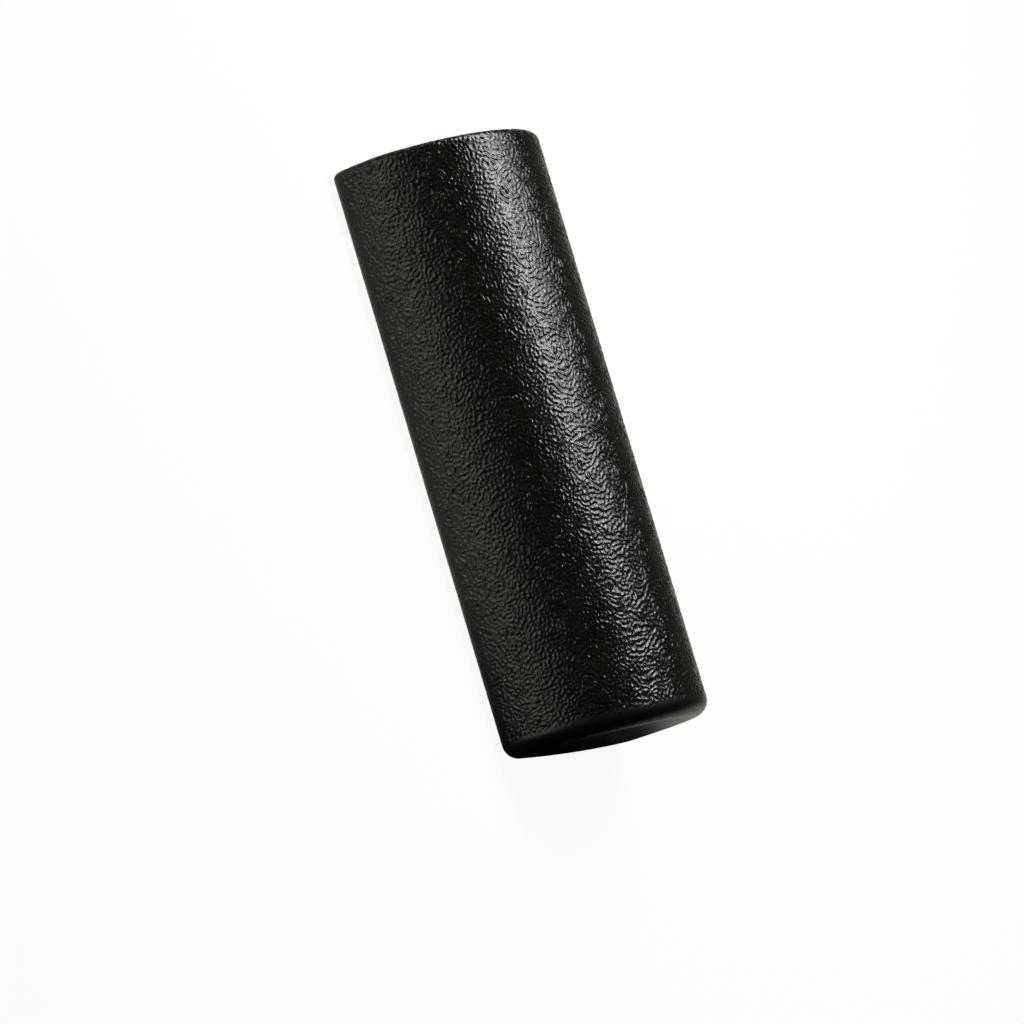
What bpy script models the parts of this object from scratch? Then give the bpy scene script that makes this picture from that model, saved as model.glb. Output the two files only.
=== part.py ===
"""A half round foam roller: a foam core in a grained curved skin, a flat base skin and two end skins.

The roller lies on its flat face, in metres. X runs along it, Y across it and Z up, and the origin is
the middle of the flat face.
"""

import math

import bmesh
import bpy

# Whole roller
LENGTH = 0.300
ROUND_DIAMETER = 0.150  # of the full round that the section is half of
EDGE_RADIUS = 0.0065  # rounding of each long edge, where the curved side meets the flat face
RIGHT_RIM_RADIUS = 0.008  # rounding round the right end
LEFT_RIM_RADIUS = 0.0035  # rounding round the left end, the crisper one

# Skins
SKIN_THICKNESS = 0.0015
END_SKIRT = 0.002  # straight band of an end skin before its rim turns in
LEAST_ROUNDING = 0.001  # the smallest rounding that an inner corner keeps

# Clearance between pieces that touch
GAP = 0.0003

# Smoothness, as counts of steps
ARC_STEPS = 48
EDGE_STEPS = 5
RIM_STEPS = 6

# Places that follow from the sizes
ARC_RADIUS = ROUND_DIAMETER / 2
HALF_LENGTH = LENGTH / 2

QUARTER_TURN = math.pi / 2
SHARP_ANGLE = math.radians(30)


def clear_scene():
    for old in list(bpy.data.objects):
        bpy.data.objects.remove(old, do_unlink=True)


def foam_material(name, colour, roughness):
    """A matt, non-metallic foam surface."""
    material = bpy.data.materials.new(name)
    material.use_nodes = True
    shader = material.node_tree.nodes["Principled BSDF"]
    shader.inputs["Base Color"].default_value = (*colour, 1)
    shader.inputs["Roughness"].default_value = roughness
    shader.inputs["Metallic"].default_value = 0
    return material


def core_material():
    return foam_material("core_foam", (0.030, 0.030, 0.028), 0.95)


def grained_material():
    return foam_material("grained_foam", (0.0100, 0.0100, 0.0085), 0.45)


def smooth_material():
    return foam_material("smooth_foam", (0.0100, 0.0098, 0.0088), 0.60)


def turned(centre, radius, start, stop, steps):
    """The points of an arc in the YZ plane, with both its ends."""
    angles = [start + (stop - start) * step / steps for step in range(steps + 1)]
    return [(centre[0] + radius * math.cos(a), centre[1] + radius * math.sin(a)) for a in angles]


def edge_of(inset):
    """The long edge's centre and rounding where the half round is drawn in by inset all round."""
    rounding = max(EDGE_RADIUS - inset, LEAST_ROUNDING)
    height = inset + rounding
    reach = math.sqrt((ARC_RADIUS - inset - rounding) ** 2 - height**2)
    return reach, height, rounding


def half_round(inset):
    """The section drawn in by inset: up from the flat at +Y, over the arc and down at -Y."""
    reach, height, rounding = edge_of(inset)
    lean = math.atan2(height, reach)
    front = turned((reach, height), rounding, -QUARTER_TURN, lean, EDGE_STEPS)
    over = turned((0, 0), ARC_RADIUS - inset, lean, math.pi - lean, ARC_STEPS)
    back = turned((-reach, height), rounding, math.pi - lean, math.pi + QUARTER_TURN, EDGE_STEPS)
    return front + over[1:-1] + back


def seam(rim):
    """From the middle to where the end skin with this rim starts."""
    return HALF_LENGTH - rim - END_SKIRT


def end_loops(depth, rim):
    """The loops of a rounded +X end, depth below the outer surface, from the seam to the end face."""
    rounding = max(rim - depth, LEAST_ROUNDING)
    turn_start = HALF_LENGTH - depth - rounding
    stations = [(seam(rim), depth)]
    for step in range(RIM_STEPS + 1):
        angle = QUARTER_TURN * step / RIM_STEPS
        along = turn_start + rounding * math.sin(angle)
        inset = depth + rounding * (1 - math.cos(angle))
        stations.append((along, inset))
    return [[(x, y, z) for y, z in half_round(inset)] for x, inset in stations]


def lofted(name, loops, material):
    """One closed body through loops of equally many points, with a flat face on its first and last."""
    shape = bmesh.new()
    rows = [[shape.verts.new(point) for point in loop] for loop in loops]
    for row, following in zip(rows, rows[1:]):
        for i in range(len(row)):
            shape.faces.new((row[i - 1], row[i], following[i], following[i - 1]))
    shape.faces.new(rows[0])
    shape.faces.new(rows[-1])
    bmesh.ops.recalc_face_normals(shape, faces=shape.faces)
    mesh = bpy.data.meshes.new(name)
    shape.to_mesh(mesh)
    shape.free()
    mesh.shade_smooth()
    mesh.set_sharp_from_angle(angle=SHARP_ANGLE)
    mesh.materials.append(material)
    return mesh


def placed(name, mesh, parent, turn=0):
    piece = bpy.data.objects.new(name, mesh)
    bpy.context.scene.collection.objects.link(piece)
    piece.rotation_euler = (0, 0, turn)
    piece.parent = parent
    return piece


def core_mesh():
    """The foam block, which fills the space inside the skins."""
    depth = SKIN_THICKNESS + GAP
    right = end_loops(depth, RIGHT_RIM_RADIUS)
    left = [[(-x, y, z) for x, y, z in loop] for loop in reversed(end_loops(depth, LEFT_RIM_RADIUS))]
    return lofted("foam_core", left + right, core_material())


def skin_stops():
    """Where the curved skin and the base skin end, just inside the seams, from left to right."""
    return GAP - seam(LEFT_RIM_RADIUS), seam(RIGHT_RIM_RADIUS) - GAP


def curved_skin_mesh(material):
    """The sheet over the curved side, bent round both long edges to the flat face."""
    start, stop = skin_stops()
    outside = half_round(0)
    inside = half_round(SKIN_THICKNESS)
    loops = [
        [(start, *outer), (stop, *outer), (stop, *inner), (start, *inner)]
        for outer, inner in zip(outside, inside)
    ]
    return lofted("curved_skin", loops, material)


def base_skin_mesh(material):
    """The flat sheet on the underside, between the curved skin's edges and between the end skins."""
    half_width = min(edge_of(0)[0], edge_of(SKIN_THICKNESS)[0]) - GAP
    corners = [(-half_width, 0), (half_width, 0), (half_width, SKIN_THICKNESS), (-half_width, SKIN_THICKNESS)]
    loops = [[(x, y, z) for y, z in corners] for x in skin_stops()]
    return lofted("base_skin", loops, material)


def end_skin_mesh(name, rim, material):
    """A cup that closes a +X end: a short skirt, the rounded rim and the flat end face."""
    loops = list(reversed(end_loops(SKIN_THICKNESS, rim))) + end_loops(0, rim)
    return lofted(name, loops, material)


def main():
    clear_scene()
    roller = bpy.data.objects.new("half_round_roller", None)
    bpy.context.scene.collection.objects.link(roller)
    grained, smooth = grained_material(), smooth_material()
    placed("foam_core", core_mesh(), roller)
    placed("curved_skin", curved_skin_mesh(grained), roller)
    placed("base_skin", base_skin_mesh(smooth), roller)
    placed("right_end_skin", end_skin_mesh("right_end_skin", RIGHT_RIM_RADIUS, smooth), roller)
    placed("left_end_skin", end_skin_mesh("left_end_skin", LEFT_RIM_RADIUS, grained), roller, turn=math.pi)


main()
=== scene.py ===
"""The looks of the half round foam roller: grained and smooth foam skins round a hidden foam block."""
import math

import bpy
import numpy as np
from mathutils import Matrix, Vector


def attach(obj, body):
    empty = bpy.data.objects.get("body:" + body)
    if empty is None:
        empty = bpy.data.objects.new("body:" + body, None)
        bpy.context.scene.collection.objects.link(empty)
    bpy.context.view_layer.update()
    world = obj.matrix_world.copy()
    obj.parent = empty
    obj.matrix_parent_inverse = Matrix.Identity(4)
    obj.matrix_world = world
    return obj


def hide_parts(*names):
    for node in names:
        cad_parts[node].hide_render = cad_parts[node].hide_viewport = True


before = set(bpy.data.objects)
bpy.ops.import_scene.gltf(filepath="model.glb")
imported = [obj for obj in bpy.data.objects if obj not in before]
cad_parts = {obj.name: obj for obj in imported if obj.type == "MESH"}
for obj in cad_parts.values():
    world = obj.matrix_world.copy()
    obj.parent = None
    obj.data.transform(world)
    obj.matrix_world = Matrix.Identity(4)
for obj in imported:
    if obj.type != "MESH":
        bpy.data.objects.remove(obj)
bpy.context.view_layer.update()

MM = 0.001

# The roller, as in the CAD model
HALF_LENGTH = 0.150
ARC_RADIUS = 0.075
EDGE_RADIUS = 0.0065
NEAR_RIM_RADIUS = 0.008
FAR_RIM_RADIUS = 0.0035
END_SKIRT = 0.002
NEAR_SEAM = HALF_LENGTH - NEAR_RIM_RADIUS - END_SKIRT
FAR_SEAM = HALF_LENGTH - FAR_RIM_RADIUS - END_SKIRT
LEAST_ROUNDING = 0.001
QUARTER_TURN = math.pi / 2

# The crowned ends, drawn in from the CAD model's flat ones
RIM_DRAW = 0.0006  # of the whole rim, so that the face's crown reaches the full length
NEAR_DRAW = 0.00125  # more, at the long edges of the near end
FAR_DRAW = 0.0015  # more, at the long edges of the far end
FAR_DRAW_HEIGHT = 0.0317  # up from the flat, where the far end's draw has ended
FAR_DRAW_WIDTH = (0.020, 0.050)  # from the middle, between which it grows
DRAW_ALONG = (0.110, 0.146)  # along the roller, between which every draw grows

# Skins
THICKNESS = 0.0014
JOIN = 0.00002  # half the room between two skins that meet
PITCH = 0.00042  # between grid points on the grained skin
PLAIN_PITCH = 0.0008  # between grid points on the base
SKIN_START, SKIN_STOP = JOIN - FAR_SEAM, NEAR_SEAM - JOIN  # along the roller, of the curved skin and the base


def edge_of(inset):
    """The long edge's centre and rounding where the half round is drawn in by inset all round."""
    rounding = max(EDGE_RADIUS - inset, LEAST_ROUNDING)
    height = inset + rounding
    reach = math.sqrt((ARC_RADIUS - inset - rounding) ** 2 - height**2)
    return reach, height, rounding


def section(inset, shares):
    """Points and outward normals at shares of the way over the curved side, from +Y to -Y, and its length."""
    reach, height, rounding = edge_of(inset)
    lean = math.atan2(height, reach)
    bend = rounding * (QUARTER_TURN + lean)
    over = (ARC_RADIUS - inset) * (math.pi - 2 * lean)
    total = 2 * bend + over
    along = np.asarray(shares) * total
    first = along < bend
    last = along > bend + over
    turn = np.where(
        first,
        -QUARTER_TURN + along / rounding,
        np.where(
            last,
            math.pi - lean + (along - bend - over) / rounding,
            lean + (along - bend) / (ARC_RADIUS - inset),
        ),
    )
    normal = np.stack([np.cos(turn), np.sin(turn)], 1)
    centre = np.zeros_like(normal)
    centre[first] = (reach, height)
    centre[last] = (-reach, height)
    radius = np.where(first | last, rounding, ARC_RADIUS - inset)
    return centre + normal * radius[:, None], normal, total


SPAN = section(0, [0, 1])[2]  # over the curved side, from flat to flat
ACROSS = int(round(SPAN / PITCH)) + 1
SHARES = np.linspace(0, 1, ACROSS)


# The grain

SEED = 7
FAR_SEED, NEAR_SEED, BASE_SEED = 8, 9, 12
TINY = 1e-9  # keeps a logarithm finite
FIRST_SPREAD = 0.9  # of the wavelengths that wrinkles grow from
PATCH_SPREAD = 0.35  # of the wavelengths of what changes from patch to patch


def wave_axes(shape, pitch):
    """Wave numbers per millimetre along and over a grid with this pitch, as a column and a row."""
    step = pitch / MM
    return np.fft.fftfreq(shape[0], step)[:, None], np.fft.rfftfreq(shape[1], step)[None]


def waves(shape, pitch, squeeze=1.0):
    """Wave numbers on a grid, per millimetre, squeezed along the roller."""
    along, over = wave_axes(shape, pitch)
    return np.hypot(along / squeeze, over * squeeze)


def band(wave_numbers, wavelength, spread):
    """The gain that lets through about one wavelength in mm, within a spread in powers of e."""
    return np.exp(-0.5 * (np.log(np.maximum(wave_numbers * wavelength, TINY)) / spread) ** 2)


def filtered(field, gain):
    return np.fft.irfft2(np.fft.rfft2(field) * gain, field.shape)


def banded(field, wavelength, spread, squeeze=1.0, pitch=PITCH):
    """The share of a field that has about one wavelength in mm, scaled to a spread of one."""
    kept = filtered(field, band(waves(field.shape, pitch, squeeze), wavelength, spread))
    return kept / kept.std()


def softened(field, width):
    """The field blurred by width in mm."""
    return filtered(field, np.exp(-0.5 * (2 * math.pi * waves(field.shape, PITCH) * width) ** 2))


def wrinkles(rng, shape, wavelength, spread, rounds, sharp, squeeze):
    """Winding ridges with a few branches and rings, as foam skin has."""
    field = banded(rng.standard_normal(shape), wavelength, FIRST_SPREAD, squeeze)
    for _ in range(rounds):
        field = np.tanh(sharp * banded(field, wavelength, spread, squeeze))
    return banded(field, wavelength, spread, squeeze)


HEADINGS = [math.radians(angle) for angle in (-75, -45, -15, 15, 45, 75)]
HEADING_PATCH = 15  # mm, over which the heading changes
HEADING_BLEND = 0.28  # radians, over which strokes with unlike headings blend
STROKE_TURN = 0.30  # radians, how far one stroke's waves may lie from its heading


def off_heading(angle, heading):
    """How far an angle lies from a heading, where half a turn makes no difference."""
    return (angle - heading + QUARTER_TURN) % math.pi - QUARTER_TURN


def strokes(rng, shape, wavelength, spread, rounds, sharp, turn):
    """Long ridges side by side, which run across the roller or, by patches, about turn radians off it."""
    along, over = wave_axes(shape, PITCH)
    lean = np.arctan2(over, along)
    around = band(np.hypot(along, over), wavelength, spread)
    heading = turn * banded(rng.standard_normal(shape), HEADING_PATCH, PATCH_SPREAD)
    total, power = 0, 0
    for each in HEADINGS:
        gain = around * np.exp(-0.5 * (off_heading(lean, each) / STROKE_TURN) ** 2)
        field = filtered(rng.standard_normal(shape), gain)
        for _ in range(rounds - 1):
            field = filtered(np.tanh(sharp * field / field.std()), gain)
        share = np.exp(-0.5 * (off_heading(heading, each) / HEADING_BLEND) ** 2)
        total = total + share * field / field.std()
        power = power + share**2
    return total / np.sqrt(power)


def shifted(field, along, over):
    """The field read along and over cells away from each point."""
    rows, columns = field.shape
    u = (np.arange(rows)[:, None] + along) % rows
    v = (np.arange(columns)[None] + over) % columns
    i, j = np.floor(u).astype(int) % rows, np.floor(v).astype(int) % columns
    a, b = u - np.floor(u), v - np.floor(v)
    ii, jj = (i + 1) % rows, (j + 1) % columns
    low = field[i, j] * (1 - a) + field[ii, j] * a
    high = field[i, jj] * (1 - a) + field[ii, jj] * a
    return low * (1 - b) + high * b


def smooth_step(low, high, value):
    t = np.clip((value - low) / (high - low), 0, 1)
    return t * t * (3 - 2 * t)


# The grain's grid
FAR_TRAVEL = END_SKIRT + FAR_RIM_RADIUS * QUARTER_TURN  # from the far seam to the end face
GRAIN_MARGIN = 0.004  # beyond that
GRAIN_START = -(FAR_SEAM + FAR_TRAVEL + GRAIN_MARGIN)
GRAIN_ROWS = 750
GRAIN_COLUMNS = 600

# What the grain is mixed from. Wavelengths are in mm and turns in radians, and each round sharpens the ridges
SIDE_STROKES = {"wavelength": 2.5, "spread": 0.45, "rounds": 3, "sharp": 0.9, "turn": 1.6}
SIDE_WRINKLES = {"wavelength": 2.15, "spread": 0.40, "rounds": 2, "sharp": 0.8, "squeeze": 1.0}
CROWN_STROKES = {"wavelength": 2.75, "spread": 0.45, "rounds": 4, "sharp": 1.3, "turn": 0.62}
CROWN_WRINKLES = {"wavelength": 2.4, "spread": 0.45, "rounds": 3, "sharp": 1.3, "squeeze": 1.1}
FOLDS = {"wavelength": 6.0, "spread": 0.45, "rounds": 3, "sharp": 1.5, "squeeze": 1.35}
SIDE_WEIGHT, CROWN_WEIGHT = 1.2, 0.65  # of the wrinkles, against the strokes
FOLD_SIDE, FOLD_CROWN = 0.1, 0.7  # how high the folds stand on the sides, and how much more at the crown
FOLD_WIDTH = 0.25  # of the fold on each side of its line, as a share of the field's spread
CROWN_ANGLES = math.radians(18), math.radians(55)  # from the crown, between which the mixture changes
CREST = 0.15  # how much narrower the crests are than the valleys

# The grain's shape and depth
DRIFT = 0.45  # mm, how far it is pulled out of line
DRIFT_PATCH = 12  # mm, over which that pull changes
SOFTNESS = 0.17  # mm, of the blur over it
GRAIN_SLOPE = 9.4  # degrees, root mean square along each axis
SIDE_DEPTH = 0.76  # how deep it is on the sides, against the crown
DEPTH_ANGLES = math.radians(44), math.radians(62)  # from the crown to the front, where its depth falls
BACK_ANGLES = math.radians(3), math.radians(24)  # and to the back
SWELL = 0.026  # mm, of the slow rise and fall under it
SWELL_PATCH = 14  # mm, over which that changes
SUNK = 0.02  # mm, how far the mean height lies below the outline

# Four small pits in the grain: along the roller in mm, and degrees up from the front
PITS = ((8, 15), (8.5, 20), (17, 12), (3.6, 27))
PIT_LENGTH, PIT_WIDTH, PIT_DEPTH = 1.4, 0.95, 0.65  # mm, half across and deep, of the cone-shaped hollow

# Where the grain ends
EDGE_FADE = (0.001, 0.006)  # from the flat, between which it sets in
RIM_FADE = 0.75  # of the way over the far end's skirt and rim, where it starts to thin out
FADE_LINE = 0.0014  # past the near seam, where it ends
FADE_WIDTH = (-0.0020, 0.0014)  # from that line, between which it thins out
FADE_WANDER = 0.0008  # how far the line wanders
WANDER_WAVES = ((0.6, 3.1, 0.2), (0.4, 11.3, 0.0))  # weight, waves over the curved side and phase in turns


def off_crown():
    """By column, how far it lies from the crown, as an angle that is positive in front."""
    return (np.arange(GRAIN_COLUMNS) / (ACROSS - 1) - 0.5) * SPAN / ARC_RADIUS


def crown_share():
    """By column, how much of the crown's mixture it has: all at the crown, none on the sides."""
    return 1 - smooth_step(*CROWN_ANGLES, np.abs(off_crown()))


def side_depth():
    """By column, how deep the grain is; it stays deep further down the front than down the back."""
    front, back = smooth_step(*DEPTH_ANGLES, off_crown()), smooth_step(*BACK_ANGLES, -off_crown())
    return 1 - (1 - SIDE_DEPTH) * (front + back)


def with_pits(field):
    """The grain's heights with the pits pressed in."""
    step = PITCH / MM
    for x, angle in PITS:
        row = (x * MM - GRAIN_START) / PITCH
        column = (0.5 + math.radians(90 - angle) * ARC_RADIUS / SPAN) * (ACROSS - 1)
        along = (np.arange(GRAIN_ROWS)[:, None] - row) * step / PIT_LENGTH
        over = (np.arange(GRAIN_COLUMNS)[None] - column) * step / PIT_WIDTH
        field = field - PIT_DEPTH * np.clip(1 - np.hypot(along, over), 0, 1)
    return field


def grain_field():
    """Heights in mm over the curved side; rows run along the roller, columns over it."""
    rng = np.random.default_rng(SEED)
    shape = (GRAIN_ROWS, GRAIN_COLUMNS)
    at_crown = crown_share()[None]
    sides = strokes(rng, shape, **SIDE_STROKES) + SIDE_WEIGHT * wrinkles(rng, shape, **SIDE_WRINKLES)
    crown = strokes(rng, shape, **CROWN_STROKES) + CROWN_WEIGHT * wrinkles(rng, shape, **CROWN_WRINKLES)
    field = sides + (crown - sides) * at_crown
    field = np.exp(CREST * field) / CREST
    lines = wrinkles(rng, shape, **FOLDS)
    field += (FOLD_SIDE + FOLD_CROWN * at_crown) * np.exp(-((lines / FOLD_WIDTH) ** 2))
    drift = DRIFT * MM / PITCH
    along = drift * banded(rng.standard_normal(shape), DRIFT_PATCH, PATCH_SPREAD)
    over = drift * banded(rng.standard_normal(shape), DRIFT_PATCH, PATCH_SPREAD)
    field = softened(shifted(field, along, over), SOFTNESS)
    slope = [np.gradient(field, PITCH / MM, axis=axis).std() for axis in (0, 1)]
    field *= math.tan(math.radians(GRAIN_SLOPE)) / math.hypot(*slope) * math.sqrt(2)
    field *= side_depth()[None]
    field += SWELL * banded(rng.standard_normal(shape), SWELL_PATCH, PATCH_SPREAD)
    field -= field.mean() + SUNK
    return with_pits(field)


GRAIN = grain_field()


def grain_at(x, column):
    """Grain heights in metres in the rows at x, for the given columns."""
    row = (np.asarray(x) - GRAIN_START) / PITCH
    low = np.floor(row).astype(int)
    part = (row - low)[:, None]
    mixed = GRAIN[low] * (1 - part) + GRAIN[low + 1] * part
    return mixed[:, column] * MM


def edge_fade():
    """How much of the grain is left over the curved side: none where it turns to the flat."""
    travel = np.minimum(SHARES, 1 - SHARES) * SPAN
    return smooth_step(*EDGE_FADE, travel)


def near_fade(x):
    """The grain thins out past the near seam, at a line that wanders; x is the travel over the skin."""
    turns = [(weight, count * SHARES + phase) for weight, count, phase in WANDER_WAVES]
    wander = sum(weight * np.sin(2 * math.pi * turn) for weight, turn in turns)
    line = NEAR_SEAM + FADE_LINE + FADE_WANDER * wander
    return 1 - smooth_step(*FADE_WIDTH, x[:, None] - line[None])


# Meshes

SHARP_ANGLE = math.radians(40)  # from which an edge is shaded as a crease


def crowned(points):
    """The points with both ends drawn in a little towards the long edges."""
    x, y, z = points.T
    share = smooth_step(*DRAW_ALONG, np.abs(x))
    near = NEAR_DRAW * (y / ARC_RADIUS) ** 2
    far = FAR_DRAW * (1 - smooth_step(0, FAR_DRAW_HEIGHT, z)) * smooth_step(*FAR_DRAW_WIDTH, np.abs(y))
    draw = (RIM_DRAW + np.where(x > 0, near, far)) * share
    return np.stack([x - np.sign(x) * draw, y, z], 1)


class Shape:
    """Vertices, faces, one UV per vertex and a grain height per vertex, gathered into one mesh."""

    def __init__(self):
        self.points, self.faces, self.uvs, self.heights = [], [], [], []
        self.count = 0

    def grid(self, points, uv, height=None):
        """Adds rows of points and returns their numbers in the same rows."""
        rows, columns = points.shape[:2]
        self.points.append(points.reshape(-1, 3))
        self.uvs.append(uv.reshape(-1, 2))
        if height is None:
            height = np.zeros((rows, columns))
        self.heights.append(height.reshape(-1))
        numbers = self.count + np.arange(rows * columns).reshape(rows, columns)
        self.count += rows * columns
        return numbers

    def quads(self, numbers, flip=False):
        """Adds the faces between neighbouring rows and columns of points."""
        a, b = numbers[:-1, :-1].ravel(), numbers[1:, :-1].ravel()
        c, d = numbers[1:, 1:].ravel(), numbers[:-1, 1:].ravel()
        self.faces.append(np.stack([d, c, b, a] if flip else [a, b, c, d], 1))

    def polygon(self, numbers):
        self.faces.append(np.asarray(numbers)[None])

    def mesh(self, name, turned=False):
        """The mesh of it all, with crowned ends and, if turned, half a turn about the Z axis."""
        points = np.concatenate(self.points)
        if turned:
            points = points * (-1, -1, 1)
        points = crowned(points).astype(np.float32)
        loops = np.concatenate([f.ravel() for f in self.faces]).astype(np.int32)
        sizes = np.concatenate([np.full(len(f), f.shape[1]) for f in self.faces]).astype(np.int32)
        mesh = bpy.data.meshes.new(name)
        mesh.vertices.add(len(points))
        mesh.vertices.foreach_set("co", points.ravel())
        mesh.loops.add(len(loops))
        mesh.loops.foreach_set("vertex_index", loops)
        mesh.polygons.add(len(sizes))
        mesh.polygons.foreach_set("loop_start", (np.cumsum(sizes) - sizes).astype(np.int32))
        mesh.update(calc_edges=True)
        mesh.validate()
        uv = np.concatenate(self.uvs).astype(np.float32)
        index = np.zeros(len(mesh.loops), np.int32)
        mesh.loops.foreach_get("vertex_index", index)
        layer = mesh.uv_layers.new(name="OFBake")
        layer.data.foreach_set("uv", uv[index].ravel())
        grain = mesh.attributes.new("grain", "FLOAT", "POINT")
        grain.data.foreach_set("value", np.concatenate(self.heights).astype(np.float32))
        mesh.shade_smooth()
        mesh.set_sharp_from_angle(angle=SHARP_ANGLE)
        return mesh


def joined(x, flat):
    """Points from stations along X and flat (y, z) pairs; x is (rows,) and flat (rows, columns, 2)."""
    rows, columns = flat.shape[:2]
    return np.concatenate([np.broadcast_to(x[:, None, None], (rows, columns, 1)), flat], 2)


def closed(numbers):
    """Rows of point numbers, each with its first again at its end."""
    return np.concatenate([numbers, numbers[:, :1]], 1)


def over_flat(spot, count):
    """Points over the flat face, from the last of the curved side's points back to the first."""
    share = np.linspace(0, 1, count + 2)[1:-1, None]
    return spot[-1] * (1 - share) + spot[0] * share


# Each grid's box in its piece's UV square, as least U and V and greatest U and V
SKIN_UV = (0.005, 0.005, 0.995, 0.82)
SKIN_INSIDE_UV = (0.005, 0.85, 0.995, 0.97)
CAP_UV = (0.005, 0.005, 0.30, 0.995)
CAP_INSIDE_UV = (0.66, 0.005, 0.80, 0.995)
BASE_UV = (0.005, 0.005, 0.995, 0.48)
BASE_INSIDE_UV = (0.005, 0.52, 0.995, 0.97)
BLOCK_UV = (0.005, 0.005, 0.80, 0.995)

# An end face's place between its cap's two boxes
FACE_LEAST_U, FACE_SPAN_U = 0.32, 0.30
FACE_MIDDLE_V, FACE_SPAN_V = 0.5, 0.62


def box_uv(rows, columns, box):
    u0, v0, u1, v1 = box
    u, v = np.meshgrid(np.linspace(u0, u1, rows), np.linspace(v0, v1, columns), indexing="ij")
    return np.stack([u, v], 2)


def curved_skin():
    """The sheet over the curved side, with its grain."""
    rows = int(round((SKIN_STOP - SKIN_START) / PITCH)) + 1
    x = np.linspace(SKIN_START, SKIN_STOP, rows)
    spot, normal, _ = section(0, SHARES)
    height = grain_at(x, np.arange(ACROSS)) * edge_fade()[None] * near_fade(x)
    flat = spot[None] + normal[None] * height[..., None]
    shape = Shape()
    outer = shape.grid(joined(x, flat), box_uv(rows, ACROSS, SKIN_UV), height / MM)
    inner_flat = np.broadcast_to(section(THICKNESS, SHARES)[0], (2, ACROSS, 2))
    inner = shape.grid(joined(x[[0, -1]], inner_flat), box_uv(2, ACROSS, SKIN_INSIDE_UV))
    shape.quads(outer)
    shape.quads(inner, flip=True)
    for row, flip in ((0, True), (-1, False)):
        shape.quads(np.stack([outer[row], inner[row]]), flip=flip)
    shape.polygon([*outer[:, 0][::-1], inner[0, 0], inner[-1, 0]])
    shape.polygon([*outer[:, -1], inner[-1, -1], inner[0, -1]])
    return shape.mesh("grained_skin")


# End caps
BOTTOM_COUNT = 150  # points over the flat
RING_COUNT = ACROSS + BOTTOM_COUNT
LEAST_STEP = 0.3  # of the pitch, before the rim's last row
INNER_CORNER = 0.0016  # how far the inside's corner is cut off
FACE_MIDDLE = np.array([0.0, 0.031])  # where the face's rings draw together
FACE_ROWS = 30
FACE_CENTRE = 0.03  # size of the last ring, against the first
FACE_CROWN = 4  # power by which the face's crown falls towards the rim
FACE_WAVES = 7
FACE_WAVE_NUMBER = 90  # radians per metre, their spread
FACE_WAVE_HEIGHT = 0.00006
FACE_CALM = 0.18  # of the way in from the rim, over which the waves set in


def ring(inset):
    """The closed section drawn in by inset, with the flat's points after those of the curved side."""
    spot, normal, _ = section(inset, SHARES)
    down = np.tile([0.0, -1.0], (BOTTOM_COUNT, 1))
    return np.concatenate([spot, over_flat(spot, BOTTOM_COUNT)]), np.concatenate([normal, down])


def cap_grain(seam, travel, far):
    """The grain's heights over an end cap's skirt and rim, none on its flat."""
    height = np.zeros((len(travel), RING_COUNT))
    columns = np.arange(ACROSS)
    if far:
        rim_fade = 1 - smooth_step(RIM_FADE * travel[-1], travel[-1], travel)
        fade = edge_fade()[None] * rim_fade[:, None]
        height[:, :ACROSS] = grain_at(-seam - travel, columns[::-1]) * fade
    else:
        faded = grain_at(seam + travel, columns) * edge_fade()[None]
        height[:, :ACROSS] = faded * near_fade(seam + travel)
    return height


def cap_outside(seam, rim, travel, height):
    """Points over an end cap's skirt and rim."""
    turn = np.clip(travel - END_SKIRT, 0, None) / rim
    x = np.where(travel < END_SKIRT, seam + travel, HALF_LENGTH - rim + rim * np.sin(turn))
    x[0] = seam + JOIN
    inset = rim * (1 - np.cos(turn))
    points = []
    for ahead, drawn, angle, lift in zip(x, inset, turn, height[..., None]):
        spot, normal = ring(drawn)
        moved = spot + normal * math.cos(angle) * lift
        points.append(np.concatenate([ahead + math.sin(angle) * lift, moved], 1))
    return np.array(points)


def cap_face(rim, rng):
    """Points over an end face, from the rim inwards: a slight crown with a few faint waves."""
    shrink = np.linspace(1, FACE_CENTRE, FACE_ROWS + 1)[1:]
    flat = FACE_MIDDLE + (ring(rim)[0] - FACE_MIDDLE)[None] * shrink[:, None, None]
    depth = np.zeros(flat.shape[:2])
    for _ in range(FACE_WAVES):
        k = rng.normal(0, 1, 2) * FACE_WAVE_NUMBER
        phase = rng.uniform(0, 2 * math.pi)
        depth += np.cos(flat @ k + phase)
    depth = FACE_WAVE_HEIGHT * (depth / FACE_WAVES - 1) * smooth_step(0, FACE_CALM, 1 - shrink)[:, None]
    depth += RIM_DRAW * (1 - shrink**FACE_CROWN)[:, None]
    return np.concatenate([(HALF_LENGTH + depth)[..., None], flat], 2)


def face_uv(face):
    u = FACE_LEAST_U + face[..., 2] / ARC_RADIUS * FACE_SPAN_U
    v = FACE_MIDDLE_V + face[..., 1] / (2 * ARC_RADIUS) * FACE_SPAN_V
    return np.stack([u, v], 2)


def cap_inside(seam, rim):
    """Points over an end cap's inside."""
    back = HALF_LENGTH - THICKNESS
    x = np.array([seam + JOIN, HALF_LENGTH - rim, back - INNER_CORNER, back])
    inset = np.array([0, 0, INNER_CORNER, rim - THICKNESS]) + THICKNESS
    return joined(x, np.array([ring(drawn)[0] for drawn in inset]))


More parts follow.
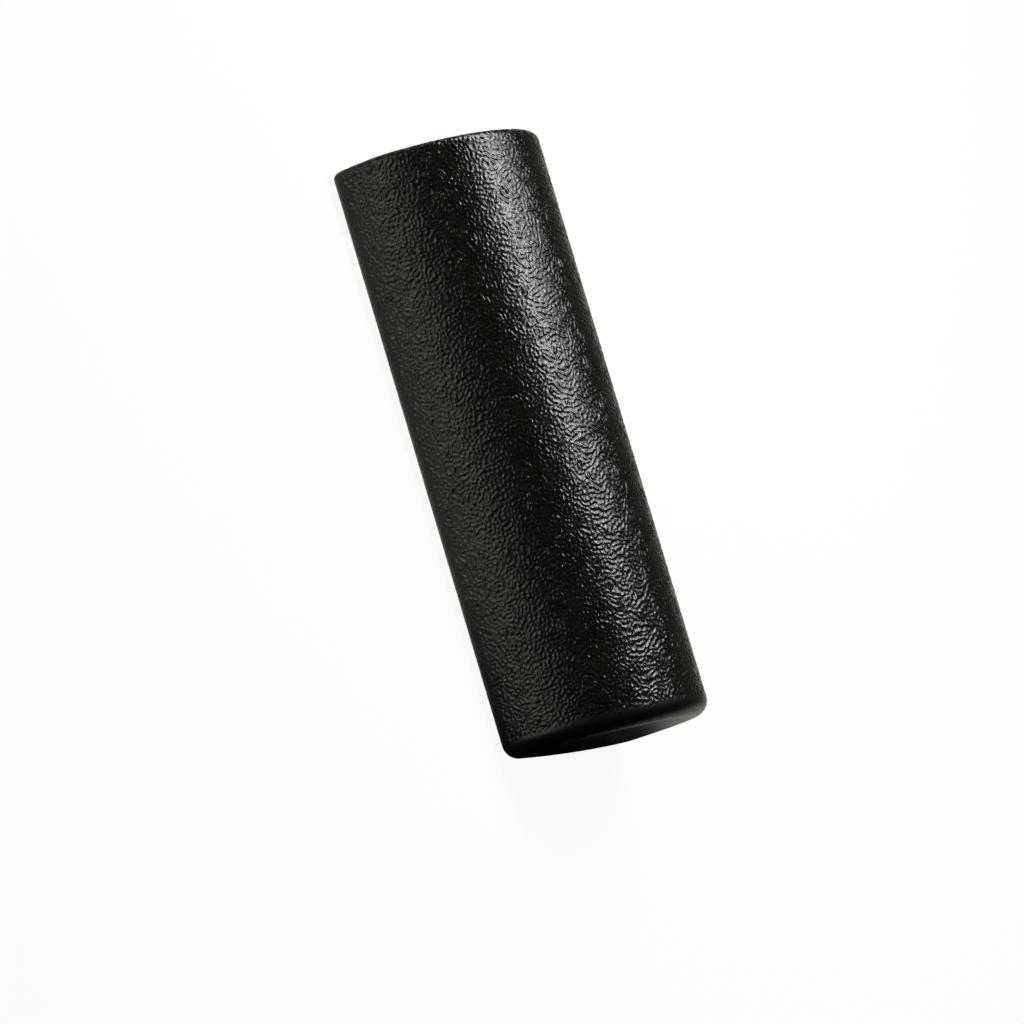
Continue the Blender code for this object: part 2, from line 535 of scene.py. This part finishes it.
def end_cap(name, rim, seed, far):
    """The cup over the +X end: skirt, rim and face, with its inside. The far one is turned at the end."""
    seam = HALF_LENGTH - rim - END_SKIRT
    length = END_SKIRT + rim * QUARTER_TURN
    travel = np.append(np.arange(0, length - LEAST_STEP * PITCH, PITCH), length)
    height = cap_grain(seam, travel, far)
    shape = Shape()
    outside = cap_outside(seam, rim, travel, height)
    outer = shape.grid(outside, box_uv(len(travel), RING_COUNT, CAP_UV), height / MM)
    face = cap_face(rim, np.random.default_rng(seed))
    front = shape.grid(face, face_uv(face))
    inside = cap_inside(seam, rim)
    inner = shape.grid(inside, box_uv(len(inside), RING_COUNT, CAP_INSIDE_UV))
    shape.quads(closed(outer))
    shape.quads(closed(np.concatenate([outer[-1:], front])))
    shape.quads(closed(inner), flip=True)
    shape.quads(closed(np.stack([outer[0], inner[0]])), flip=True)
    shape.polygon(front[-1])
    shape.polygon(inner[-1][::-1])
    return shape.mesh(name, turned=far)


# Base sheet
DIMPLE_SIZE, DIMPLE_DEPTH = 3.6, 0.03  # mm, of the fine relief
DIP_SIZE, DIP_DEPTH = 18, 0.02  # mm, of the wide relief
DIP_SPREAD = 0.4  # of the wide relief's wavelengths
BASE_MARGIN = 0.004  # from the sheet's edges, over which the relief sets in


def base_sheet():
    """The sheet on the underside, with a faint relief that is pressed up into it."""
    half = min(edge_of(0)[0], edge_of(THICKNESS)[0]) - JOIN
    size = (int((SKIN_STOP - SKIN_START) / PLAIN_PITCH) + 1, int(2 * half / PLAIN_PITCH) + 1)
    x, y = np.linspace(SKIN_START, SKIN_STOP, size[0]), np.linspace(-half, half, size[1])
    rng = np.random.default_rng(BASE_SEED)
    dimples = np.tanh(banded(rng.standard_normal(size), DIMPLE_SIZE, PATCH_SPREAD, pitch=PLAIN_PITCH))
    dips = banded(rng.standard_normal(size), DIP_SIZE, DIP_SPREAD, pitch=PLAIN_PITCH)
    relief = DIMPLE_DEPTH * dimples + DIP_DEPTH * dips
    relief = (relief - relief.max()) * MM
    margin = np.minimum.outer(np.minimum(x - SKIN_START, SKIN_STOP - x), half - np.abs(y))
    relief *= smooth_step(0, BASE_MARGIN, margin)
    sheet = np.stack([np.broadcast_to(x[:, None], size), np.broadcast_to(y[None], size), -relief], 2)
    shape = Shape()
    outer = shape.grid(sheet, box_uv(*size, BASE_UV), relief / MM)
    corners = np.array([[[along, -half], [along, half]] for along in (SKIN_START, SKIN_STOP)])
    top = np.concatenate([corners, np.full((2, 2, 1), THICKNESS)], 2)
    inner = shape.grid(top, box_uv(2, 2, BASE_INSIDE_UV))
    shape.quads(outer, flip=True)
    shape.quads(inner)
    shape.polygon([*outer[0], inner[0, 1], inner[0, 0]])
    shape.polygon([*outer[-1][::-1], inner[-1, 0], inner[-1, 1]])
    shape.polygon([*outer[:, 0][::-1], inner[0, 0], inner[1, 0]])
    shape.polygon([*outer[:, -1], inner[1, 1], inner[0, 1]])
    return shape.mesh("base_sheet")


# Foam block
BLOCK_INSET = THICKNESS + 0.0003  # 0.3 mm clear of the skins' inside
BLOCK_MIDDLE = 0.13  # along the roller, half the length of its straight middle
BLOCK_ROWS = 27  # in that middle
BLOCK_TURNS = 9  # rows over each rounded end
BLOCK_ACROSS = 97  # points over the curved side
BLOCK_BOTTOM = 40  # points over the flat


def block_end(rim):
    """Stations along X over a rounded +X end of the block, and how far each is drawn in."""
    rounding = rim - BLOCK_INSET
    turn = np.linspace(0, QUARTER_TURN, BLOCK_TURNS)
    x = HALF_LENGTH - BLOCK_INSET - rounding * (1 - np.sin(turn))
    return x, BLOCK_INSET + rounding * (1 - np.cos(turn))


def foam_block():
    """The block inside the skins, rounded at both ends."""
    near_x, near_inset = block_end(NEAR_RIM_RADIUS)
    far_x, far_inset = block_end(FAR_RIM_RADIUS)
    middle = np.linspace(-BLOCK_MIDDLE, BLOCK_MIDDLE, BLOCK_ROWS)
    x = np.concatenate([-far_x[::-1], middle, near_x])
    inset = np.concatenate([far_inset[::-1], np.full(BLOCK_ROWS, BLOCK_INSET), near_inset])
    spots = [section(drawn, np.linspace(0, 1, BLOCK_ACROSS))[0] for drawn in inset]
    flat = [np.concatenate([spot, over_flat(spot, BLOCK_BOTTOM)]) for spot in spots]
    points = joined(x, np.array(flat))
    shape = Shape()
    rows = shape.grid(points, box_uv(*points.shape[:2], BLOCK_UV))
    shape.quads(closed(rows))
    shape.polygon(rows[0][::-1])
    shape.polygon(rows[-1])
    return shape.mesh("foam_block")


# Shader nodes

def node(tree, kind, **settings):
    made = tree.nodes.new(kind)
    for key, value in settings.items():
        setattr(made, key, value)
    return made


def noise(tree, vector, scale, detail, roughness=0.5):
    made = node(tree, "ShaderNodeTexNoise")
    made.inputs["Scale"].default_value = scale
    made.inputs["Detail"].default_value = detail
    made.inputs["Roughness"].default_value = roughness
    tree.links.new(vector, made.inputs["Vector"])
    return made.outputs["Fac"]


def ranged(tree, value, source, target=(0.0, 1.0)):
    """The value moved from the source range to the target range and held inside it."""
    made = node(tree, "ShaderNodeMapRange")
    for name, number in zip(("From Min", "From Max", "To Min", "To Max"), (*source, *target)):
        made.inputs[name].default_value = number
    tree.links.new(value, made.inputs["Value"])
    return made.outputs["Result"]


def mixed_colour(tree, share, one, other):
    """From one colour to the other, by share; each is a tuple or a socket."""
    made = node(tree, "ShaderNodeMix", data_type="RGBA")
    tree.links.new(share, made.inputs["Factor"])
    for socket, value in ((made.inputs[6], one), (made.inputs[7], other)):
        if isinstance(value, tuple):
            socket.default_value = (*value, 1)
        else:
            tree.links.new(value, socket)
    return made.outputs[2]


def math_of(tree, operation, *values):
    """The operation on values, each of which is a number or a socket."""
    made = node(tree, "ShaderNodeMath", operation=operation)
    for socket, value in zip(made.inputs, values):
        if isinstance(value, (int, float)):
            socket.default_value = value
        else:
            tree.links.new(value, socket)
    return made.outputs[0]


def product(tree, value, shares):
    """The value times each of the shares."""
    for share in shares:
        value = math_of(tree, "MULTIPLY", value, share)
    return value


def creases(tree, vector, scale, width=0.05):
    """Nought along narrow winding lines and one away from them."""
    field = noise(tree, vector, scale, detail=1.5)
    away = math_of(tree, "ABSOLUTE", math_of(tree, "SUBTRACT", field, 0.5))
    made = node(tree, "ShaderNodeMapRange", interpolation_type="SMOOTHSTEP")
    made.inputs["From Max"].default_value = width
    tree.links.new(away, made.inputs["Value"])
    return made.outputs["Result"]


# Materials
IOR = 1.42
# Painted shade: the skin's tone by grain height is darker in the valleys and lighter on the crests, as if the
# hollows shaded themselves
SHADED_VALLEY_TONE = (0.0040, 0.0042, 0.0030)
LIT_CREST_TONE = (0.0086, 0.0090, 0.0066)
DULL_TONE = tuple(0.72 * c for c in SHADED_VALLEY_TONE)  # which broad clouds blend in
GRAINED_ROUGHNESS, SMOOTH_ROUGHNESS = (0.13, 0.33), (0.24, 0.38)  # on the crests and in the valleys
GRAINED_BUMP, SMOOTH_BUMP = 0.00002, 0.000006  # metres, of the fine cells and creases
CORE_TONES = (0.022, 0.022, 0.020), (0.036, 0.036, 0.034)  # between the cells and in their middles


def new_material(name):
    """A material, its node tree and its surface shader."""
    material = bpy.data.materials.new(name)
    material.use_nodes = True
    tree = material.node_tree
    return material, tree, tree.nodes["Principled BSDF"]


def foam_skin(name, roughness, bump_height):
    """Black foam skin: gloss follows the grain, its tone is painted shade that follows the grain, darker in
    the valleys and lighter on the crests, and fine cells break up the surface.
    """
    material, tree, shader = new_material(name)
    place = node(tree, "ShaderNodeTexCoord").outputs["Object"]
    grain = node(tree, "ShaderNodeAttribute", attribute_name="grain").outputs["Fac"]
    height = ranged(tree, grain, source=(-0.15, 0.15))
    cloud = noise(tree, place, scale=55, detail=3)
    cells = noise(tree, place, scale=2600, detail=2, roughness=0.6)
    folds = creases(tree, place, scale=300)
    fine_folds = creases(tree, place, scale=560)
    # painted shade: the tone darkens in the grain's valleys and lightens on its crests
    tone = mixed_colour(tree, height, SHADED_VALLEY_TONE, LIT_CREST_TONE)
    dullness = ranged(tree, cloud, source=(0.35, 0.65), target=(0.0, 0.55))
    colour = mixed_colour(tree, dullness, tone, DULL_TONE)
    tree.links.new(colour, shader.inputs["Base Color"])
    gloss = ranged(tree, height, source=(0.0, 1.0), target=roughness[::-1])
    speck = ranged(tree, cells, source=(0.3, 0.7), target=(-0.04, 0.06))
    tree.links.new(math_of(tree, "ADD", gloss, speck), shader.inputs["Roughness"])
    shader.inputs["Metallic"].default_value = 0
    shader.inputs["IOR"].default_value = IOR
    bump = node(tree, "ShaderNodeBump")
    bump.inputs["Strength"].default_value = 1.0
    bump.inputs["Distance"].default_value = bump_height
    relief = math_of(tree, "ADD", folds, math_of(tree, "MULTIPLY", fine_folds, 0.5))
    relief = math_of(tree, "MULTIPLY_ADD", cells, 0.5, relief)
    tree.links.new(relief, bump.inputs["Height"])
    tree.links.new(bump.outputs["Normal"], shader.inputs["Normal"])
    return material


def core_foam():
    """Grey-black closed-cell foam, for the block that the skins hide."""
    material, tree, shader = new_material("core_foam")
    place = node(tree, "ShaderNodeTexCoord").outputs["Object"]
    cells = node(tree, "ShaderNodeTexVoronoi")
    cells.inputs["Scale"].default_value = 900
    tree.links.new(place, cells.inputs["Vector"])
    bulge = ranged(tree, cells.outputs["Distance"], source=(0.1, 0.6), target=(1.0, 0.0))
    tree.links.new(mixed_colour(tree, bulge, *CORE_TONES), shader.inputs["Base Color"])
    shader.inputs["Roughness"].default_value = 0.9
    shader.inputs["IOR"].default_value = IOR
    bump = node(tree, "ShaderNodeBump")
    bump.inputs["Distance"].default_value = 0.0002
    tree.links.new(bulge, bump.inputs["Height"])
    tree.links.new(bump.outputs["Normal"], shader.inputs["Normal"])
    return material


# Pieces

def put(name, mesh, material, replaced):
    mesh.materials.append(material)
    piece = bpy.data.objects.new(name, mesh)
    bpy.context.scene.collection.objects.link(piece)
    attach(piece, "root")
    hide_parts(replaced)


grained = foam_skin("grained_foam", GRAINED_ROUGHNESS, GRAINED_BUMP)
smooth = foam_skin("smooth_foam", SMOOTH_ROUGHNESS, SMOOTH_BUMP)

put("grained_skin", curved_skin(), grained, "curved_skin")
near_cap = end_cap("near_end_cap", NEAR_RIM_RADIUS, NEAR_SEED, far=False)
put("near_end_cap", near_cap, smooth, "right_end_skin")
far_cap = end_cap("far_end_cap", FAR_RIM_RADIUS, FAR_SEED, far=True)
put("far_end_cap", far_cap, grained, "left_end_skin")
put("base_sheet", base_sheet(), smooth, "base_skin")
put("foam_block", foam_block(), core_foam(), "foam_core")


# Camera, from the photo's outline
LIFT = 0.396949  # radians, above the floor
SLEW = 0.100418  # and towards the near end
ROLL = 0.290174  # and about the line of sight
DISTANCE = 2.744165
AIM_ACROSS, AIM_DOWN = 0.009685, 0.027010
PIXELS_PER_METRE = 2033.874  # at the aim
PICTURE_WIDTH = 1024  # pixels
SENSOR_WIDTH = 36  # mm
NEAREST_SEEN, FARTHEST_SEEN = 0.1, 50


def photo_camera():
    along = Vector((1, 0, 0))
    front = Vector((0, -math.cos(LIFT), math.sin(LIFT)))
    rise = Vector((0, math.sin(LIFT), math.cos(LIFT)))
    toward = along * math.sin(SLEW) + front * math.cos(SLEW)
    down = along * math.cos(SLEW) - front * math.sin(SLEW)
    right = rise * math.cos(ROLL) + down * math.sin(ROLL)
    up = rise * math.sin(ROLL) - down * math.cos(ROLL)
    aim = rise * AIM_ACROSS + down * AIM_DOWN
    data = bpy.data.cameras.new("camera")
    data.lens = PIXELS_PER_METRE * DISTANCE * SENSOR_WIDTH / PICTURE_WIDTH
    data.sensor_width = SENSOR_WIDTH
    data.clip_start = NEAREST_SEEN
    data.clip_end = FARTHEST_SEEN
    camera = bpy.data.objects.new("camera", data)
    axes = Matrix((right, up, toward)).transposed().to_4x4()
    camera.matrix_world = Matrix.Translation(aim + toward * DISTANCE) @ axes
    bpy.context.scene.collection.objects.link(camera)
    bpy.context.scene.camera = camera


# Floor
FLOOR_REACH = 12
FLOOR_HEIGHT = -0.0001  # just under the roller, so that the two don't share a plane
FLOOR_WHITE = (0.90, 0.90, 0.90)
FLOOR_SHADE = (0.03, 0.0295, 0.028)  # its colour in reflections
FLOOR_GLOW = (1.0, 0.97, 0.88)  # its own light in reflections
WHITE = (1.0, 1.0, 1.0)
SEEN_GLOW = 0.93  # how much of the floor's look is its own light, for the camera
REFLECTED_GLOW = 0.62  # and in reflections

# The floor's glow, which ends beyond the near end in a painted shadow, except in a patch at the back
SHADE_ALONG = (0.05, 0.148)  # along the roller, where the shade starts
SHADE_ACROSS = (0.112, 0.185)  # across it, where it gives way to the patch
PATCH_END = (0.45, 0.90)  # along it, where the patch ends


def floor():
    mesh = bpy.data.meshes.new("floor")
    sides = ((-1, -1), (1, -1), (1, 1), (-1, 1))
    corners = [(x * FLOOR_REACH, y * FLOOR_REACH, FLOOR_HEIGHT) for x, y in sides]
    mesh.from_pydata(corners, [], [(0, 1, 2, 3)])
    material = bpy.data.materials.new("pale_floor")
    material.use_nodes = True
    tree = material.node_tree
    tree.nodes.clear()
    out = node(tree, "ShaderNodeOutputMaterial")
    path = node(tree, "ShaderNodeLightPath")
    seen, glossy = path.outputs["Is Camera Ray"], path.outputs["Is Glossy Ray"]
    parts = node(tree, "ShaderNodeSeparateXYZ")
    tree.links.new(node(tree, "ShaderNodeTexCoord").outputs["Object"], parts.inputs[0])
    # painted shadow: the glow that reflections see fades out past the near end, except in a patch at the back
    before_end = ranged(tree, parts.outputs["X"], SHADE_ALONG, (1.0, 0.0))
    behind = ranged(tree, parts.outputs["Y"], SHADE_ACROSS)
    short = ranged(tree, parts.outputs["X"], PATCH_END, (1.0, 0.0))
    patch = math_of(tree, "MULTIPLY", behind, short)
    unshadowed_glow = math_of(tree, "MAXIMUM", before_end, patch)
    lit = node(tree, "ShaderNodeBsdfDiffuse")
    tree.links.new(mixed_colour(tree, seen, FLOOR_SHADE, FLOOR_WHITE), lit.inputs["Color"])
    glow = node(tree, "ShaderNodeEmission")
    tree.links.new(mixed_colour(tree, seen, FLOOR_GLOW, WHITE), glow.inputs["Color"])
    tree.links.new(math_of(tree, "MAXIMUM", seen, unshadowed_glow), glow.inputs["Strength"])
    share = math_of(tree, "MULTIPLY", seen, SEEN_GLOW)
    share = math_of(tree, "MULTIPLY_ADD", glossy, REFLECTED_GLOW, share)
    mix = node(tree, "ShaderNodeMixShader")
    tree.links.new(share, mix.inputs["Fac"])
    tree.links.new(lit.outputs[0], mix.inputs[1])
    tree.links.new(glow.outputs[0], mix.inputs[2])
    tree.links.new(mix.outputs[0], out.inputs["Surface"])
    mesh.materials.append(material)
    made = bpy.data.objects.new("floor", mesh)
    bpy.context.scene.collection.objects.link(made)


# The softbox and its brighter middle: middle, width, depth, the point that it faces and radiance
TOP_BOX = ((-0.98, 0.48, 1.2), 1.76, 0.84, (-0.98, 0.48, 0), 4.0)
TOP_CORE = ((-0.98, 0.29, 1.1999), 1.76, 0.12, (-0.98, 0.29, 0), 25.0)
LAMP_TINT = (1.0, 1.0, 0.97)


def softbox(name, middle, width, depth, target, radiance):
    data = bpy.data.lights.new(name, "AREA")
    data.shape = "RECTANGLE"
    data.size, data.size_y = width, depth
    data.color = LAMP_TINT
    data.energy = radiance * math.pi * width * depth
    made = bpy.data.objects.new(name, data)
    aim_at = Vector(target) - Vector(middle)
    made.matrix_world = Matrix.Translation(middle) @ aim_at.to_track_quat("-Z", "Y").to_matrix().to_4x4()
    made.visible_camera = False
    bpy.context.scene.collection.objects.link(made)


# Brightness by elevation in degrees, of the lit panel in front, of the room and of the backdrop behind
PANEL = [(-90, 0.0), (-1, 0.8), (4, 2.7), (9, 4.0), (14, 3.4), (23, 1.2), (35, 0.0), (90, 0.0)]
ROOM = [(-90, 0.1), (0, 0.16), (20, 0.055), (32, 0.015), (90, 0.01)]
BACKDROP = [(-90, 0.0), (-8, 0.0), (0, 0.80), (8, 0.45), (18, 0.10), (28, 0.0), (90, 0.0)]
PANEL_LEFT = (-0.80, -0.45)  # directions along X, between which the panel starts
PANEL_RIGHT = (-0.35, 0.12)  # and ends
PANEL_BACK = (-0.30, 0.0)  # and along Y
ROOM_RIGHT = (0.05, 0.45)  # directions along X, between which the room turns dark
ROOM_LEFT_OVER = 0.02  # how much of the room's light there is beyond them
BACKDROP_RIGHT = (0.15, 0.30)  # directions along X, between which the backdrop starts
BACKDROP_BACK = (0.55, 0.75)  # and along Y
SURROUNDINGS_TINT = (0.98, 1.0, 0.87)


def ramp(tree, height, rows):
    """A grey level by the height of a direction, through rows of elevation in degrees and level."""
    made = node(tree, "ShaderNodeFloatCurve")
    curve = made.mapping.curves[0]
    points = [((math.sin(math.radians(angle)) + 1) / 2, level) for angle, level in rows]
    curve.points[0].location = points[0]
    curve.points[-1].location = points[-1]
    for spot in points[1:-1]:
        curve.points.new(*spot)
    for spot in curve.points:
        spot.handle_type = "VECTOR"
    made.mapping.update()
    tree.links.new(ranged(tree, height, (-1, 1)), made.inputs["Value"])
    return made.outputs[0]


def surroundings():
    """Pale grey for the camera, beyond the floor; a panel, a room and a backdrop for all other rays."""
    world = bpy.data.worlds.new("studio")
    bpy.context.scene.world = world
    world.use_nodes = True
    tree = world.node_tree
    tree.nodes.clear()
    out = node(tree, "ShaderNodeOutputWorld")
    parts = node(tree, "ShaderNodeSeparateXYZ")
    tree.links.new(node(tree, "ShaderNodeTexCoord").outputs["Generated"], parts.inputs[0])
    x, y, z = parts.outputs
    panel_shares = (
        ranged(tree, x, PANEL_LEFT),
        ranged(tree, x, PANEL_RIGHT, (1.0, 0.0)),
        ranged(tree, y, PANEL_BACK, (1.0, 0.0)),
    )
    panel = product(tree, ramp(tree, z, PANEL), panel_shares)
    room = product(tree, ramp(tree, z, ROOM), [ranged(tree, x, ROOM_RIGHT, (1.0, ROOM_LEFT_OVER))])
    backdrop_shares = (ranged(tree, x, BACKDROP_RIGHT), ranged(tree, y, BACKDROP_BACK))
    backdrop = product(tree, ramp(tree, z, BACKDROP), backdrop_shares)
    level = math_of(tree, "ADD", math_of(tree, "ADD", panel, room), backdrop)
    tint = node(tree, "ShaderNodeVectorMath", operation="SCALE")
    tint.inputs[0].default_value = SURROUNDINGS_TINT
    tree.links.new(level, tint.inputs["Scale"])
    soft = node(tree, "ShaderNodeBackground")
    tree.links.new(tint.outputs[0], soft.inputs["Color"])
    pale = node(tree, "ShaderNodeBackground")
    mix = node(tree, "ShaderNodeMixShader")
    tree.links.new(node(tree, "ShaderNodeLightPath").outputs["Is Camera Ray"], mix.inputs["Fac"])
    tree.links.new(soft.outputs[0], mix.inputs[1])
    tree.links.new(pale.outputs[0], mix.inputs[2])
    tree.links.new(mix.outputs[0], out.inputs["Surface"])


photo_camera()
floor()
softbox("top_box", *TOP_BOX)
softbox("top_core", *TOP_CORE)
surroundings()
bpy.context.scene.view_settings.view_transform = "Standard"
